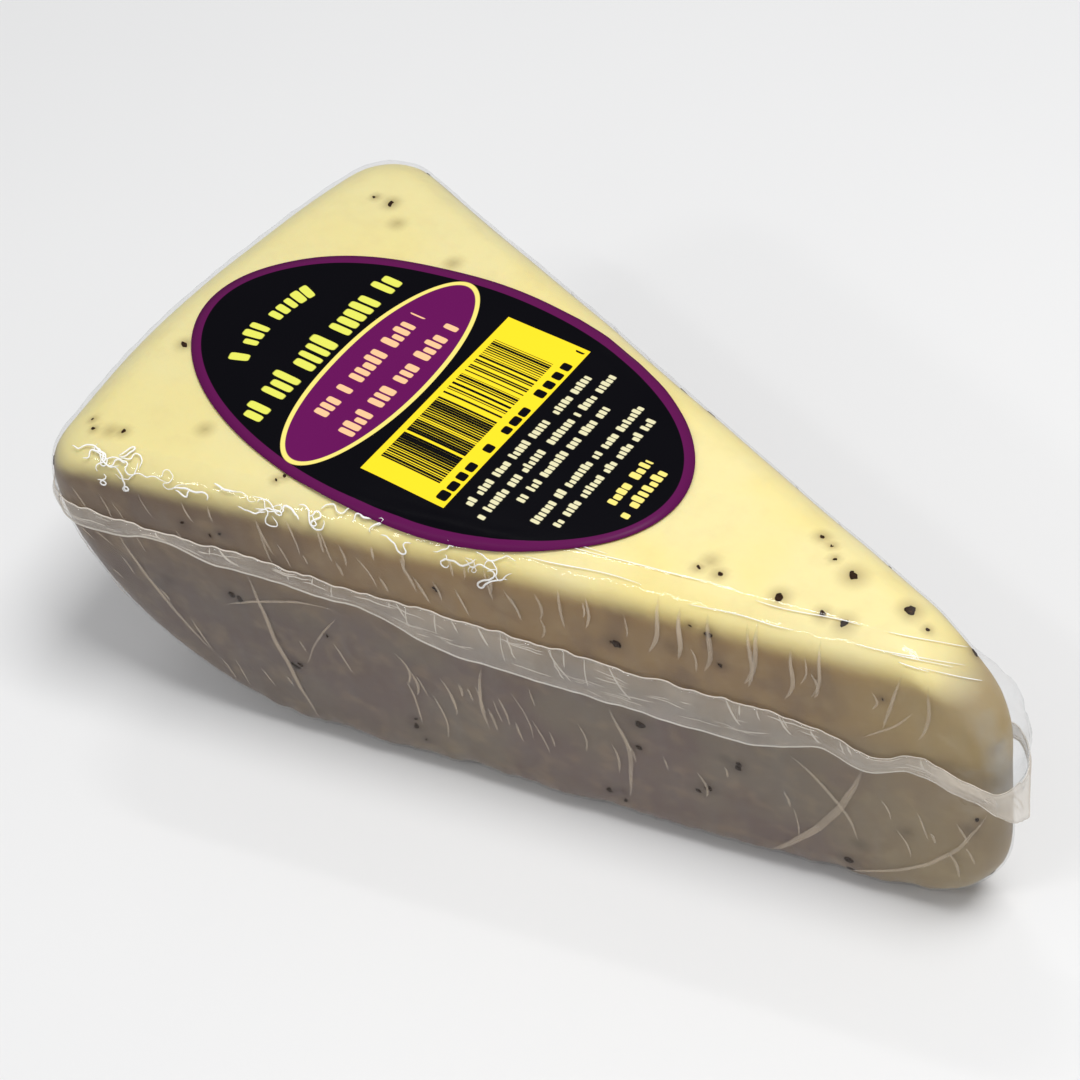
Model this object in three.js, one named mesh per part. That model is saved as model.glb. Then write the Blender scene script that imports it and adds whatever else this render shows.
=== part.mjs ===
// A wedge of pepper cheese sealed in tight clear film, with an oval label on its top.
// Units are millimetres and +Z is up. The wedge rests on its flat base and its tip points along +X.
// The origin is on the base, under the middle of the whole pack.
import * as THREE from "three";
import { mergeVertices } from "three/addons/utils/BufferGeometryUtils.js";

const { clamp, degToRad, lerp, smoothstep } = THREE.MathUtils;

// The wheel of cheese, and the wedge that two straight cuts through its axis leave.
const WHEEL_RADIUS = 137;
const WEDGE_ANGLE = degToRad(30.6);
const HEIGHT = 47;

// The wheel's rind: it curves far in under the wheel, and is rounded a little at the top.
const UNDERSIDE_REACH = 40;
const UNDERSIDE_RISE = 36.5;
const RIND_TOP_RADIUS = 8.5;

// The edges that the film has pressed round along the two cuts, at the top and at the base.
const TOP_EDGE_RADIUS = 5.8;
const BASE_EDGE_RADIUS = 5.2;

// The wedge's three upright corners. The corner at -Y is the sharper of the two on the rind.
const NEAR_CORNER_RADIUS = 6.4;
const FAR_CORNER_RADIUS = 8.2;
const TIP_RADIUS = 3.9;

// The tip is worn back in a curve towards the top and towards the base.
const TIP_TOP_RADIUS = 15;
const TIP_FOOT_RADIUS = 14.5;

// The seam where the upper and lower films are welded: a flap that runs all round the wedge.
// It slopes down from the rind to the wheel's axis, and at the tip it stands out as an ear.
const SEAM_HEIGHT_AT_RIND = 38;
const SEAM_HEIGHT_AT_AXIS = 29.5;
const FLAP_THICKNESS = 0.4;
const FLAP_DROP_AT_RIND = 2;
const FLAP_DROP_AT_TIP = 6;
const FLAP_LEAN = 0.7;
const TIP_EAR = 1.8;
const TIP_EAR_LENGTH = 15;

// The oval label, a little off the wedge's centre line and turned with it.
const LABEL_LENGTH = 73;
const LABEL_WIDTH = 39.8;
const LABEL_THICKNESS = 0.3;
const LABEL_FROM_AXIS = 92.6;
const LABEL_ASIDE = -1.3;
const LABEL_TURN = degToRad(2.2);

// The clearance between pieces that lie on each other.
const GAP = 0.3;

// How finely the curved stretches are faceted.
const TIP_STEPS = 10;
const CUT_STEPS = 14;
const CORNER_STEPS = 8;
const RIND_STEPS = 16;
const EDGE_LEVELS = 7;
const WALL_LEVELS = 14;
const LABEL_STEPS = 72;

const halfAngle = WEDGE_ANGLE / 2;
const sine = Math.sin(halfAngle);

// How far an edge of this radius has drawn in, at this depth past the start of its rounding.
function drawnIn(depth, radius) {
  const reach = clamp(depth, 0, radius);
  return radius - Math.sqrt(radius * radius - reach * reach);
}

// The sizes of the wedge's level outline at height z.
function sizesAt(z) {
  const below = clamp(UNDERSIDE_RISE - z, 0, UNDERSIDE_RISE) / UNDERSIDE_RISE;
  const underside = UNDERSIDE_REACH * (1 - Math.sqrt(1 - below * below));
  const inset =
    drawnIn(z - (HEIGHT - TOP_EDGE_RADIUS), TOP_EDGE_RADIUS) +
    drawnIn(BASE_EDGE_RADIUS - z, BASE_EDGE_RADIUS);
  const wear =
    drawnIn(z - (HEIGHT - TIP_TOP_RADIUS), TIP_TOP_RADIUS) +
    drawnIn(TIP_FOOT_RADIUS - z, TIP_FOOT_RADIUS);
  const beyondInset = Math.max(wear - inset, 0);
  const tipRadius = Math.max(TIP_RADIUS - inset, 0.4);
  const rindEdge = drawnIn(z - (HEIGHT - RIND_TOP_RADIUS), RIND_TOP_RADIUS);
  return {
    inset,
    rindRadius: WHEEL_RADIUS - underside - rindEdge,
    tipRadius: tipRadius + (beyondInset * sine) / (1 - sine),
    nearCorner: NEAR_CORNER_RADIUS - inset / 2,
    farCorner: FAR_CORNER_RADIUS - inset / 2,
  };
}

// Points on an arc about a centre, from one angle to another, without the last one.
function arc(centre, radius, from, to, steps) {
  const points = [];
  for (let i = 0; i < steps; i++) {
    const angle = lerp(from, to, i / steps);
    const x = centre.x + radius * Math.cos(angle);
    const y = centre.y + radius * Math.sin(angle);
    points.push(new THREE.Vector2(x, y));
  }
  return points;
}

// A rounded corner between one cut face and the rind: the centre of its arc, and that centre's
// direction from the wheel's axis. side is 1 for the cut at +Y and -1 for the one at -Y.
function cornerOf(sizes, radius, side) {
  const distance = sizes.rindRadius - radius;
  const direction = Math.PI - side * (halfAngle - Math.asin((sizes.inset + radius) / distance));
  return {
    centre: new THREE.Vector2(distance * Math.cos(direction), distance * Math.sin(direction)),
    direction,
  };
}

// The wedge's outline at height z, anticlockwise from the tip's -Y side. The wheel's axis is at 0, 0.
function outline(z) {
  const sizes = sizesAt(z);
  const across = Math.PI / 2 - halfAngle;
  const tip = new THREE.Vector2(-(sizes.inset + sizes.tipRadius) / sine, 0);
  const far = cornerOf(sizes, sizes.farCorner, 1);
  const near = cornerOf(sizes, sizes.nearCorner, -1);
  const onCut = (centre, radius, side) =>
    new THREE.Vector2(centre.x + radius * Math.cos(across), centre.y + side * radius * Math.sin(across));
  const straight = (from, to) =>
    Array.from({ length: CUT_STEPS }, (_, i) => from.clone().lerp(to, i / CUT_STEPS));
  const axis = new THREE.Vector2(0, 0);
  return [
    ...arc(tip, sizes.tipRadius, -across, across, TIP_STEPS),
    ...straight(onCut(tip, sizes.tipRadius, 1), onCut(far.centre, sizes.farCorner, 1)),
    ...arc(far.centre, sizes.farCorner, across, far.direction, CORNER_STEPS),
    ...arc(axis, sizes.rindRadius, far.direction, near.direction, RIND_STEPS),
    ...arc(near.centre, sizes.nearCorner, near.direction, 2 * Math.PI - across, CORNER_STEPS),
    ...straight(onCut(near.centre, sizes.nearCorner, -1), onCut(tip, sizes.tipRadius, -1)),
  ];
}

// The heights at which the wedge is sliced, closer together where its edges turn.
function wedgeLevels() {
  const foot = Array.from({ length: EDGE_LEVELS }, (_, i) =>
    BASE_EDGE_RADIUS * (1 - Math.cos((i / EDGE_LEVELS) * (Math.PI / 2))),
  );
  const wallTop = HEIGHT - TOP_EDGE_RADIUS;
  const wall = Array.from({ length: WALL_LEVELS }, (_, i) =>
    lerp(BASE_EDGE_RADIUS, wallTop, i / WALL_LEVELS),
  );
  const head = Array.from({ length: EDGE_LEVELS + 1 }, (_, i) =>
    wallTop + TOP_EDGE_RADIUS * Math.sin((i / EDGE_LEVELS) * (Math.PI / 2)),
  );
  return [...foot, ...wall, ...head];
}

// A closed solid from stacked rings of points that run anticlockwise, lowest first, with flat ends.
function loft(rings) {
  const size = rings[0].length;
  const positions = rings.flat().flatMap((point) => point.toArray());
  const faces = [];
  for (let r = 0; r + 1 < rings.length; r++) {
    for (let i = 0; i < size; i++) {
      const j = (i + 1) % size;
      const low = r * size;
      const high = low + size;
      faces.push(low + i, low + j, high + j, low + i, high + j, high + i);
    }
  }
  for (const [ring, upwards] of [[0, false], [rings.length - 1, true]]) {
    const start = ring * size;
    const middle = new THREE.Vector3();
    rings[ring].forEach((point) => middle.addScaledVector(point, 1 / size));
    const centre = positions.length / 3;
    positions.push(...middle.toArray());
    for (let i = 0; i < size; i++) {
      const j = (i + 1) % size;
      faces.push(centre, start + (upwards ? i : j), start + (upwards ? j : i));
    }
  }
  return meshFrom(positions, faces);
}

// A closed ring-shaped solid whose section, at each step round it, is a closed loop of points.
function ringSolid(sections) {
  const size = sections[0].length;
  const positions = sections.flat().flatMap((point) => point.toArray());
  const faces = [];
  for (let s = 0; s < sections.length; s++) {
    const here = s * size;
    const next = ((s + 1) % sections.length) * size;
    for (let i = 0; i < size; i++) {
      const j = (i + 1) % size;
      faces.push(here + i, next + i, next + j, here + i, next + j, here + j);
    }
  }
  return meshFrom(positions, faces);
}

function meshFrom(positions, faces) {
  const geometry = new THREE.BufferGeometry();
  geometry.setAttribute("position", new THREE.Float32BufferAttribute(positions, 3));
  geometry.setIndex(faces);
  geometry.computeVertexNormals();
  return geometry;
}

function wedgeGeometry() {
  return loft(wedgeLevels().map((z) => outline(z).map((p) => new THREE.Vector3(p.x, p.y, z))));
}

// How high the seam lies at this distance from the wheel's axis.
function seamHeight(fromAxis) {
  return lerp(SEAM_HEIGHT_AT_AXIS, SEAM_HEIGHT_AT_RIND, clamp(fromAxis / WHEEL_RADIUS, 0, 1));
}

// The flap: a strip that starts on the seam, hangs down outside the wall and leans away from it.
function flapGeometry() {
  const tipFromAxis = TIP_RADIUS / sine - TIP_RADIUS;
  const sections = outline(HEIGHT / 2).map((point, i) => {
    const fromAxis = -point.x;
    const z = seamHeight(fromAxis);
    const ring = outline(z);
    const at = ring[i];
    const before = ring[(i + ring.length - 1) % ring.length];
    const after = ring[(i + 1) % ring.length];
    const outward = new THREE.Vector2(after.y - before.y, before.x - after.x).normalize();
    const rindShare = smoothstep(fromAxis, WHEEL_RADIUS / 2, WHEEL_RADIUS);
    const drop = lerp(FLAP_DROP_AT_TIP, FLAP_DROP_AT_RIND, rindShare);
    const tipShare = 1 - smoothstep(fromAxis, tipFromAxis, tipFromAxis + TIP_EAR_LENGTH);
    const lean = lerp(FLAP_LEAN, TIP_EAR, tipShare);
    const place = (out, height) =>
      new THREE.Vector3(at.x + out * outward.x, at.y + out * outward.y, height);
    return [
      place(GAP, z),
      place(GAP + lean, z - drop),
      place(GAP + lean + FLAP_THICKNESS, z - drop),
      place(GAP + FLAP_THICKNESS, z),
    ];
  });
  return ringSolid(sections);
}

function labelGeometry() {
  const oval = new THREE.Shape();
  oval.absellipse(0, 0, LABEL_LENGTH / 2, LABEL_WIDTH / 2, 0, 2 * Math.PI);
  const plate = new THREE.ExtrudeGeometry(oval, {
    depth: LABEL_THICKNESS,
    bevelEnabled: false,
    curveSegments: LABEL_STEPS,
  });
  plate.deleteAttribute("uv");
  plate.deleteAttribute("normal");
  return mergeVertices(plate, 1e-4);
}

function part(name, geometry, colour, roughness) {
  const material = new THREE.MeshStandardMaterial({ color: colour, roughness, metalness: 0 });
  const mesh = new THREE.Mesh(geometry, material);
  mesh.name = name;
  return mesh;
}

const pack = new THREE.Group();
pack.add(part("wrapped_wedge", wedgeGeometry(), 0xeedd9c, 0.25));
pack.add(part("seam_flap", flapGeometry(), 0xd9dde0, 0.15));

const label = part("label", labelGeometry(), 0x1a1226, 0.35);
label.position.set(-LABEL_FROM_AXIS, LABEL_ASIDE, HEIGHT + GAP);
label.rotation.z = LABEL_TURN;
pack.add(label);

// The middle of the whole pack comes over the origin.
pack.updateMatrixWorld(true);
const middle = new THREE.Box3().setFromObject(pack, true).getCenter(new THREE.Vector3());
pack.position.set(-middle.x, -middle.y, 0);

export default pack;
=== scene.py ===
import math
import random

import bmesh
import bpy
from mathutils import Matrix, Vector, noise
from mathutils.bvhtree import BVHTree
from mathutils.kdtree import KDTree


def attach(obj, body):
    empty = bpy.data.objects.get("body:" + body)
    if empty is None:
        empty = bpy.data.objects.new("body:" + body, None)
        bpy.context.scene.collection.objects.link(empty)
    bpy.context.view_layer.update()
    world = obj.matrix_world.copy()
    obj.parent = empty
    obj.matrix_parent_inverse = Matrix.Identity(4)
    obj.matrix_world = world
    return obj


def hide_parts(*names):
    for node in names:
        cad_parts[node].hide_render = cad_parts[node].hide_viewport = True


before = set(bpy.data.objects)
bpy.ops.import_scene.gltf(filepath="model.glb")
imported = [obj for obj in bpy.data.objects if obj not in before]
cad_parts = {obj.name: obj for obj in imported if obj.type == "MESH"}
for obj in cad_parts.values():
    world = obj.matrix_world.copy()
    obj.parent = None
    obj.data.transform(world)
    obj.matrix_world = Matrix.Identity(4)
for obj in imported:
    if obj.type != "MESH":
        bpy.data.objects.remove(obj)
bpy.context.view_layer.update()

# ----------------------------------------------------------------------------
# The cheese
# A wedge of young gouda, cut through the axis of a wheel: soft, smooth, pale butter yellow, and
# a little uneven where the pack has pressed on it. It lies free inside the film, which it fills.

MM = 0.001
FACE_LENGTH = 0.6 * MM
SOFTENING_ROUNDS = 16
CHEESE_INSET = 0.35 * MM
CHEESE_UNEVEN = 0.8 * MM
BASE_WAVE = 1.9 * MM
BASE_NICKS = 0.9 * MM
EDGE_DENT = 0.9 * MM
EDGE_DENT_AT = Vector((56.0, 3.0, 46.5)) * MM
BUTTER = (0.91, 0.765, 0.30, 1)
CREAM = (0.89, 0.79, 0.42, 1)
DULL_BUTTER = (0.74, 0.67, 0.33, 1)
# The flank colours are painted shade on the cut sides and the rind: much darker and browner than the top,
# darker low down and towards the rind end, and lighter near the tip.
UPPER_FLANK_SHADE = (0.29, 0.18, 0.075, 1)
LOWER_FLANK_SHADE = (0.180, 0.136, 0.096, 1)
MAUVE_FLANK_SHADE = (0.155, 0.105, 0.085, 1)
SHADED_FLANK = (0.14, 0.085, 0.055, 1)
RIND_END_SHADE = (0.115, 0.078, 0.060, 1)
TIP_FLANK_SHADE = (0.44, 0.32, 0.13, 1)
CURD = (0.62, 0.48, 0.24, 1)
STAIN = (0.22, 0.13, 0.05, 1)


def add(tree, kind, inputs=None, **settings):
    """A new node. settings are its properties, and inputs are its sockets' values or links."""
    node = tree.nodes.new(kind)
    for key, value in settings.items():
        setattr(node, key, value)
    for key, value in (inputs or {}).items():
        if isinstance(value, bpy.types.NodeSocket):
            tree.links.new(value, node.inputs[key])
        else:
            node.inputs[key].default_value = value
    return node


def tree_of(*values):
    """The tree that holds the sockets among these values."""
    return next(value.id_data for value in values if isinstance(value, bpy.types.NodeSocket))


def calc(operation, *values, clamp=False):
    """The result of one sum on numbers."""
    inputs = dict(enumerate(values))
    node = add(tree_of(*values), "ShaderNodeMath", inputs, operation=operation, use_clamp=clamp)
    return node.outputs[0]


def times(*values):
    """The product of two numbers or more."""
    product = values[0]
    for value in values[1:]:
        product = calc("MULTIPLY", product, value)
    return product


def less(value, taken):
    """One number less another."""
    return calc("SUBTRACT", value, taken)


def vector_calc(operation, *values, result=0):
    """The result of one sum on vectors. result 1 is the output of a sum that gives a number."""
    node = add(tree_of(*values), "ShaderNodeVectorMath", dict(enumerate(values)), operation=operation)
    return node.outputs[result]


def scaled(vector, factor):
    """A vector times a number."""
    inputs = {0: vector, "Scale": factor}
    return add(tree_of(vector, factor), "ShaderNodeVectorMath", inputs, operation="SCALE").outputs[0]


def parts(vector):
    """A vector's X, Y and Z."""
    return add(tree_of(vector), "ShaderNodeSeparateXYZ", {0: vector}).outputs


def rise(value, low, high):
    """0 below low, 1 above high, and a smooth step between."""
    limits = {"Value": value, "From Min": low, "From Max": high}
    return add(tree_of(value), "ShaderNodeMapRange", limits, interpolation_type="SMOOTHSTEP").outputs[0]


def cloud(place, size, detail=2.0, stretch=(1, 1, 1)):
    """Soft noise from 0 to 1 with bumps of this size, longer along an axis with more stretch."""
    at = vector_calc("MULTIPLY", place, [1 / (size * s) for s in stretch])
    inputs = {"Vector": at, "Scale": 1.0, "Detail": detail}
    return add(tree_of(at), "ShaderNodeTexNoise", inputs).outputs[0]


def new_tree(name, **inputs):
    """A Geometry Nodes tree with a mesh in, a mesh out and these named inputs. Returns it with its
    inputs and the places of its points."""
    tree = bpy.data.node_groups.new(name, "GeometryNodeTree")
    tree.interface.new_socket("Mesh", in_out="INPUT", socket_type="NodeSocketGeometry")
    for key, kind in inputs.items():
        tree.interface.new_socket(key, in_out="INPUT", socket_type="NodeSocket" + kind)
    tree.interface.new_socket("Mesh", in_out="OUTPUT", socket_type="NodeSocketGeometry")
    at = add(tree, "GeometryNodeInputPosition").outputs[0]
    return tree, tree.nodes.new("NodeGroupInput").outputs, at


def close_tree(geometry, material):
    """Ends a tree: smooth faces, no instances, one material."""
    tree = tree_of(geometry)
    smooth = add(tree, "GeometryNodeSetShadeSmooth", {"Geometry": geometry})
    real = add(tree, "GeometryNodeRealizeInstances", {"Geometry": smooth.outputs[0]})
    finish = {"Geometry": real.outputs[0], "Material": material}
    painted = add(tree, "GeometryNodeSetMaterial", finish)
    add(tree, "NodeGroupOutput", {0: painted.outputs[0]})


def shaped(mesh, tree, **values):
    """The plain mesh that a tree makes from a mesh, with these values for its named inputs."""
    start = bpy.data.objects.new("start", mesh)
    bpy.context.scene.collection.objects.link(start)
    modifier = start.modifiers.new("shape", "NODES")
    modifier.node_group = tree
    for socket in tree.interface.items_tree:
        if socket.in_out == "INPUT" and socket.name in values:
            modifier[socket.identifier] = values[socket.name]
    return made_plain(start)


def made_plain(start):
    """The mesh of an object with its modifiers applied. The object goes."""
    depsgraph = bpy.context.evaluated_depsgraph_get()
    evaluated = start.evaluated_get(depsgraph)
    mesh = bpy.data.meshes.new_from_object(
        evaluated, preserve_all_data_layers=True, depsgraph=depsgraph)
    bpy.data.objects.remove(start)
    return mesh


def place(name, mesh):
    """A finished piece at the origin."""
    made = bpy.data.objects.new(name, mesh)
    bpy.context.scene.collection.objects.link(made)
    return made


def new_material(name):
    """An empty material. Returns it with its tree, its Object coordinates and its surface socket."""
    material = bpy.data.materials.new(name)
    material.use_nodes = True
    tree = material.node_tree
    tree.nodes.clear()
    at = add(tree, "ShaderNodeTexCoord").outputs["Object"]
    return material, tree, at, add(tree, "ShaderNodeOutputMaterial").inputs["Surface"]


def mixed(factor, under, over, blend="MIX"):
    """One colour laid over another."""
    inputs = {0: factor, 6: under, 7: over}
    node = add(tree_of(factor), "ShaderNodeMix", inputs, data_type="RGBA", blend_type=blend)
    return node.outputs[2]


def held(tree, name):
    """A number that the mesh holds at each point, read by its material."""
    return add(tree, "ShaderNodeAttribute", attribute_name=name).outputs["Fac"]


def marked(geometry, name, value):
    """The geometry, with a number kept at each point."""
    inputs = {"Geometry": geometry, "Name": name, "Value": value}
    return add(
        tree_of(geometry), "GeometryNodeStoreNamedAttribute", inputs, data_type="FLOAT").outputs[0]


def bumped(height, depth):
    """A normal that a height from 0 to 1 has roughened, to this depth."""
    return add(tree_of(height), "ShaderNodeBump", {"Height": height, "Distance": depth}).outputs[0]


def cheese_finish():
    material, tree, at, surface = new_material("gouda")
    split = parts(at)
    along, height = split["X"], split["Z"]
    cream = times(rise(cloud(at, 17 * MM), 0.35, 0.65), 0.7)
    butter = mixed(cream, BUTTER, CREAM)
    duller = times(rise(along, 20 * MM, -55 * MM), 0.6)
    butter = mixed(duller, butter, DULL_BUTTER)
    # Painted shade: where side is 1 the butter gives way to the dark flank colours, darker low down, in
    # cloudy patches and towards the rind end, and lighter near the tip.
    lower = rise(height, 36 * MM, 24 * MM)
    flank_shade = mixed(lower, UPPER_FLANK_SHADE, LOWER_FLANK_SHADE)
    mauve = times(rise(cloud(at, 13 * MM), 0.42, 0.62), lower)
    flank_shade = mixed(mauve, flank_shade, MAUVE_FLANK_SHADE)
    shade = times(rise(cloud(at, 5 * MM, 3.0, (1, 1, 1.6)), 0.48, 0.72), 0.5)
    flank_shade = mixed(shade, flank_shade, SHADED_FLANK)
    rind_end_shade = times(rise(along, 0 * MM, -40 * MM), 0.7)
    flank_shade = mixed(rind_end_shade, flank_shade, RIND_END_SHADE)
    less_below = calc("MULTIPLY_ADD", lower, -0.3, 0.75)
    near_tip_less_shade = times(rise(along, 36 * MM, 60 * MM), less_below)
    flank_shade = mixed(near_tip_less_shade, flank_shade, TIP_FLANK_SHADE)
    body = mixed(held(tree, "side"), butter, flank_shade)
    curd = times(rise(cloud(at, 3.2 * MM, 4.0), 0.45, 0.75), 0.12)
    body = mixed(curd, body, CURD)
    body = mixed(held(tree, "stain"), body, STAIN, "MULTIPLY")
    shader = add(tree, "ShaderNodeBsdfPrincipled", {
        "Base Color": body,
        "Roughness": 0.48,
        "Specular IOR Level": 0.3,
        "Subsurface Weight": 0.22,
        "Subsurface Radius": (1.0, 0.62, 0.28),
        "Subsurface Scale": 2.2 * MM,
        "Normal": bumped(cloud(at, 1.9 * MM, 1.5), 0.09 * MM),
    })
    tree.links.new(shader.outputs[0], surface)
    return material


def cheese_tree():
    tree, given, at = new_tree(
        "pressed cheese", Inset="Float", Uneven="Float", Wave="Float", Nicks="Float", Dent="Float",
        Finish="Material")
    normal = add(tree, "GeometryNodeInputNormal").outputs[0]
    height = parts(at)["Z"]
    facing_up = parts(normal)["Z"]
    swell = times(less(cloud(at, 22 * MM, 1.0), 0.5), given["Uneven"])
    foot = rise(height, 9 * MM, 1 * MM)
    ripple = less(cloud(at, 7 * MM, 3.0, (1, 1, 4)), 0.5)
    nicks = less(cloud(at, 2.8 * MM, 2.0, (1, 1, 2)), 0.5)
    ripple = times(ripple, given["Wave"])
    ripple = times(calc("MULTIPLY_ADD", nicks, given["Nicks"], ripple), foot)
    near_dent = vector_calc("DISTANCE", at, EDGE_DENT_AT, result=1)
    dent = times(rise(near_dent, 9 * MM, 1 * MM), given["Dent"])
    inward = calc("ADD", dent, given["Inset"])
    outward = less(calc("ADD", swell, ripple), inward)
    moved = vector_calc("ADD", at, scaled(normal, outward))
    lowest = add(tree, "ShaderNodeCombineXYZ", {0: -1.0, 1: -1.0, 2: given["Inset"]}).outputs[0]
    kept = vector_calc("MAXIMUM", moved, lowest)
    body = add(tree, "GeometryNodeSetPosition", {"Geometry": given["Mesh"], "Position": kept})
    # side marks where the cut sides' painted shade goes: surfaces turned away from the top, and all below
    # the top edge.
    upright = rise(facing_up, 0.80, 0.20)
    side = calc("MAXIMUM", upright, rise(height, 45 * MM, 40.5 * MM))
    close_tree(marked(body.outputs[0], "side", side), given["Finish"])
    return tree


block_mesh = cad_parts["wrapped_wedge"].data.copy()
block_shell = bmesh.new()
block_shell.from_mesh(block_mesh)
bmesh.ops.remove_doubles(block_shell, verts=block_shell.verts, dist=0.001 * MM)
block_shell.to_mesh(block_mesh)
block_shell.free()
block_mesh.materials.clear()
block = place("block", block_mesh)
evening = block.modifiers.new("even faces", "REMESH")
evening.mode = "VOXEL"
evening.voxel_size = FACE_LENGTH
softening = block.modifiers.new("soft edges", "SMOOTH")
softening.factor = 0.5
softening.iterations = SOFTENING_ROUNDS
cheese_mesh = shaped(
    made_plain(block), cheese_tree(), Inset=CHEESE_INSET, Uneven=CHEESE_UNEVEN, Wave=BASE_WAVE,
    Nicks=BASE_NICKS, Dent=EDGE_DENT, Finish=cheese_finish())
cheese = place("cheese_wedge", cheese_mesh)
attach(cheese, "root")
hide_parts("wrapped_wedge")


# ----------------------------------------------------------------------------
# The pepper
# Coarse cracked peppercorns stirred into the curd: dark brown chips, cut flush where the knife
# went through them. Each has stained the cheese round it, and the deep ones show only as a stain.

SMALL, MIDDLING, LARGE, SUNK = 0.75, 1.2, 1.9, 0.0
# face, the group's middle along and up the face, how far it spreads each way, its chips
CHIP_GROUPS = [
    ("top", (-47, 23), (5, 3), [MIDDLING, MIDDLING, SMALL, SUNK]),
    ("top", (-32, 18), (1, 1), [SUNK]),
    ("top", (-52, -12), (1, 1), [MIDDLING]),
    ("top", (-50, -27), (4, 2), [MIDDLING, SMALL, SMALL, SUNK]),
    ("top", (-40, -21), (1, 1), [SUNK]),
    ("top", (-27, -22), (1, 1), [SMALL, SMALL]),
    ("top", (26, -5), (3, 1), [MIDDLING, SMALL, SUNK]),
    ("top", (34, -5), (1, 1), [LARGE]),
    ("top", (35, 4), (2, 2), [MIDDLING, SMALL, SMALL]),
    ("top", (41, 3), (1, 1), [LARGE]),
    ("top", (42, -2), (2, 2), [LARGE, MIDDLING]),
    ("top", (50, 2), (3, 1), [LARGE, MIDDLING, SMALL, SUNK]),
    ("near", (-35, 40), (4, 2), [SMALL, SMALL, SMALL, SUNK]),
    ("near", (-32, 27), (2, 1), [LARGE, LARGE]),
    ("near", (-43, 27), (1, 1), [SUNK]),
    ("near", (-31, 16), (5, 1), [MIDDLING, LARGE]),
    ("near", (-22, 23), (1, 1), [SMALL]),
    ("near", (-11, 7), (1, 4), [MIDDLING, SMALL, SMALL]),
    ("near", (-3, 38), (1, 1), [MIDDLING]),
    ("near", (17, 38), (3, 1), [LARGE, SMALL]),
    ("near", (29, 41), (4, 3), [MIDDLING, MIDDLING, SMALL, SUNK, SUNK]),
    ("near", (19, 20), (1, 3), [MIDDLING, LARGE]),
    ("near", (27, 13), (1, 1), [LARGE, MIDDLING]),
    ("near", (31, 19), (2, 1), [MIDDLING, MIDDLING, SUNK, SUNK]),
    ("near", (12, 6), (5, 2), [MIDDLING, SMALL, SUNK, SUNK]),
    ("near", (44, 7), (2, 4), [LARGE, MIDDLING, SUNK]),
    ("near", (52, 14), (2, 2), [SUNK, SUNK]),
    ("near", (49, 41), (1, 1), [SMALL]),
    ("near", (60, 24), (2, 5), [SMALL, SUNK, SUNK]),
]
SCATTERED_CHIPS = 120
CHIP_SIZES = [SMALL, SMALL, SMALL, MIDDLING, MIDDLING, LARGE, SUNK, SUNK]
CHIP_FLAT = (1.0, 0.66, 0.52)
CHIP_DEPTH_SHARE = 0.12
STAIN_REACH_SHARE = 1.0
STAIN_BEYOND = 0.5
SUNK_STAIN_REACH = 1.9
STAIN_STRENGTH = 0.62
SUNK_STAIN_STRENGTH = 0.5
CHIP_SEED = 11
DARK_HUSK = (0.012, 0.006, 0.003, 1)
BROWN_HUSK = (0.050, 0.023, 0.009, 1)
PALE_CORE = (0.13, 0.065, 0.022, 1)
# the way in to each face, the ways along and up it, and the point that these are measured from
FACES = {
    "top": ((0, 0, -1), (1, 0, 0), (0, 1, 0), (0, 0, 0)),
    "near": ((0, 1, 0), (1, 0, 0), (0, 0, 1), (0, 0, 0)),
    "far": ((0, -1, 0), (1, 0, 0), (0, 0, 1), (0, 0, 0)),
    "rind": ((1, 0, 0), (0, 1, 0), (0, 0, 1), (0, 0, 0)),
    "near edge": ((-0.19, 0.68, -0.71), (1, 0.27, 0), (-0.19, 0.68, 0.71), (0, -0.27 * 73.4, 47)),
}
CAST_FROM = 90.0


def surface_tree(mesh):
    """A mesh made ready for casting rays at it."""
    return BVHTree.FromPolygons([v.co for v in mesh.vertices], [p.vertices for p in mesh.polygons])


def point_on(surface, face, u, v):
    """The point, with its normal, where a face is met when looked at square on, at u, v in mm."""
    inwards, along, up, origin = map(Vector, FACES[face])
    start = origin + along * u + up * v - inwards * CAST_FROM
    spot, normal, _, _ = surface.ray_cast(start * MM, inwards)
    return spot, normal


def chip_places():
    """Where each chip lies: its point and outward normal on the cheese, and its size in mm."""
    surface = surface_tree(cheese.data)
    draw = random.Random(CHIP_SEED)
    found = []
    for face, (u, v), (du, dv), sizes in CHIP_GROUPS:
        for size in sizes:
            at_u, at_v = u + draw.uniform(-du, du), v + draw.uniform(-dv, dv)
            found.append((*point_on(surface, face, at_u, at_v), size * draw.uniform(0.85, 1.15)))
    wanted = len(found) + SCATTERED_CHIPS
    faces = cheese.data.polygons
    while len(found) < wanted:
        face = faces[draw.randrange(len(faces))]
        size = draw.choice(CHIP_SIZES) * draw.uniform(0.8, 1.15)
        seen = face.normal.z > 0.6 or (face.normal.y < -0.7 and face.normal.x > 0)
        if not seen:
            found.append((face.center.copy(), face.normal.copy(), size))
    return found


def stain_cheese(places):
    """Marks how much colour the chips have given each point of the cheese."""
    points = KDTree(len(cheese.data.vertices))
    for vertex in cheese.data.vertices:
        points.insert(vertex.co, vertex.index)
    points.balance()
    stains = [0.0] * len(cheese.data.vertices)
    for spot, _, size in places:
        reach = (size * STAIN_REACH_SHARE + STAIN_BEYOND if size else SUNK_STAIN_REACH) * MM
        strength = STAIN_STRENGTH if size else SUNK_STAIN_STRENGTH
        for _, index, distance in points.find_range(spot, reach):
            share = (1 - distance / reach) ** 1.3
            stains[index] = max(stains[index], strength * share)
    cheese.data.attributes.new("stain", "FLOAT", "POINT").data.foreach_set("value", stains)


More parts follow.
